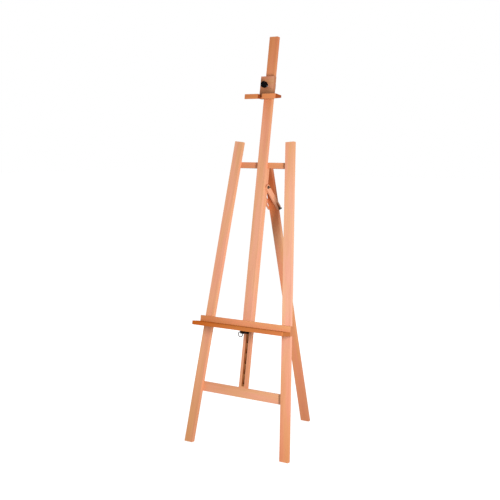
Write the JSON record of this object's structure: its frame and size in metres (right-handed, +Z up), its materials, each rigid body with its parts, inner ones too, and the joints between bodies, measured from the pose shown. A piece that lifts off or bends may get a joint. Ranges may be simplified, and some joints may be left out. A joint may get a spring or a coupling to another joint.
{
  "type": "wooden artist easel",
  "caption": "Tripod studio easel in pale wood with a mast that slides in a notched post, a full-width tray, a clamped canvas holder and a folding rear leg.",
  "frame": {"origin": "middle of the footprint, on the floor", "axes": "+Z up, -Y towards the painter (front), +X to the right as seen from the front"},
  "size_m": [0.624, 0.6728, 2.029],
  "materials": {
    "beech": "satin oiled",
    "dark_beech": "dark stained",
    "zinc_steel": "zinc plated",
    "dark_steel": "dark plated",
    "black_steel": "satin black",
    "black_plastic": "moulded",
    "brass": "turned"
  },
  "bodies": {
    "frame": {"front_leg_left": "beech", "front_leg_right": "beech", "upper_crossbar": "beech", "lower_crossbar": "beech", "centre_post": "beech", "rack_strip": "dark_beech", "post_dowels": "beech", "crossbar_screws": "zinc_steel", "hinge_frame_leaf": "zinc_steel", "hinge_pin": "zinc_steel", "hinge_frame_screws": "zinc_steel", "strut_pivot_bolt": "dark_steel", "pivot_washers": "dark_steel"},
    "mast": {"mast_board": "beech", "mast_runner": "beech", "mast_keeper": "zinc_steel", "keeper_screws": "zinc_steel", "tray_back_board": "beech", "tray_ledge": "beech", "tray_screws": "zinc_steel", "latch_guide": "black_steel", "latch_guide_screws": "black_steel", "latch_spring": "black_steel"},
    "latch": {"latch_bolt": "black_steel"},
    "ring": {"pull_ring": "black_steel"},
    "holder": {"clamp_block": "beech", "canvas_lip": "beech", "lip_screws": "zinc_steel", "clamp_stirrup": "zinc_steel", "stirrup_screws": "zinc_steel", "threaded_insert": "brass", "pressure_pad": "brass"},
    "knob": {"knob_screw": "zinc_steel", "clamp_knob": "black_plastic"},
    "back_leg": {"rear_leg": "beech", "hinge_leg_leaf": "zinc_steel", "hinge_leg_screws": "zinc_steel", "strut_clamp_bolt": "dark_steel", "clamp_washers": "dark_steel"},
    "wing_nut": {"wing_nut": "dark_steel"},
    "left_strut": {"strut_left": "beech"},
    "right_strut": {"strut_right": "beech"}
  },
  "joints": [
    {"name": "rear_leg_fold", "type": "hinge", "parent": "frame", "child": "back_leg", "pos_m": [0, -0.05944, 1.39638], "axis": [1, 0, 0], "range_deg": [-24.5, 0]},
    {"name": "strut_left_swing", "type": "hinge", "parent": "frame", "child": "left_strut", "pos_m": [0, -0.09055, 1.28703], "axis": [1, 0, 0], "range_deg": [-41, 0]},
    {"name": "strut_right_swing", "type": "hinge", "parent": "frame", "child": "right_strut", "pos_m": [0, -0.09055, 1.28703], "axis": [1, 0, 0], "range_deg": [-41, 0]},
    {"name": "wing_nut_turn", "type": "hinge", "parent": "back_leg", "child": "wing_nut", "pos_m": [0, 0.01201, 1.1774], "axis": [1, 0, 0], "continuous": true},
    {"name": "mast_slide", "type": "slide", "parent": "frame", "child": "mast", "axis": [0, 0.1663, 0.9861], "range_m": [-0.2545, 0.3563]},
    {"name": "latch_pull", "type": "slide", "parent": "mast", "child": "latch", "axis": [0, -0.9861, 0.1663], "range_m": [0, 0.013], "stiffness_N_per_m": 300, "springref_m": -0.01, "deforming": ["latch_spring"]},
    {"name": "ring_swing", "type": "hinge", "parent": "latch", "child": "ring", "pos_m": [0, -0.28285, 0.58858], "axis": [1, 0, 0], "range_deg": [-60, 34]},
    {"name": "holder_slide", "type": "slide", "parent": "mast", "child": "holder", "axis": [0, 0.1663, 0.9861], "range_m": [-0.1, 0.195]},
    {"name": "knob_turn", "type": "hinge", "parent": "holder", "child": "knob", "pos_m": [0, -0.05542, 1.78715], "axis": [0, -0.9861, 0.1663], "continuous": true}
  ],
  "couplings": [
    {"joint": "strut_left_swing", "follows": "rear_leg_fold", "ratio": 1.646},
    {"joint": "strut_right_swing", "follows": "rear_leg_fold", "ratio": 1.646}
  ]
}
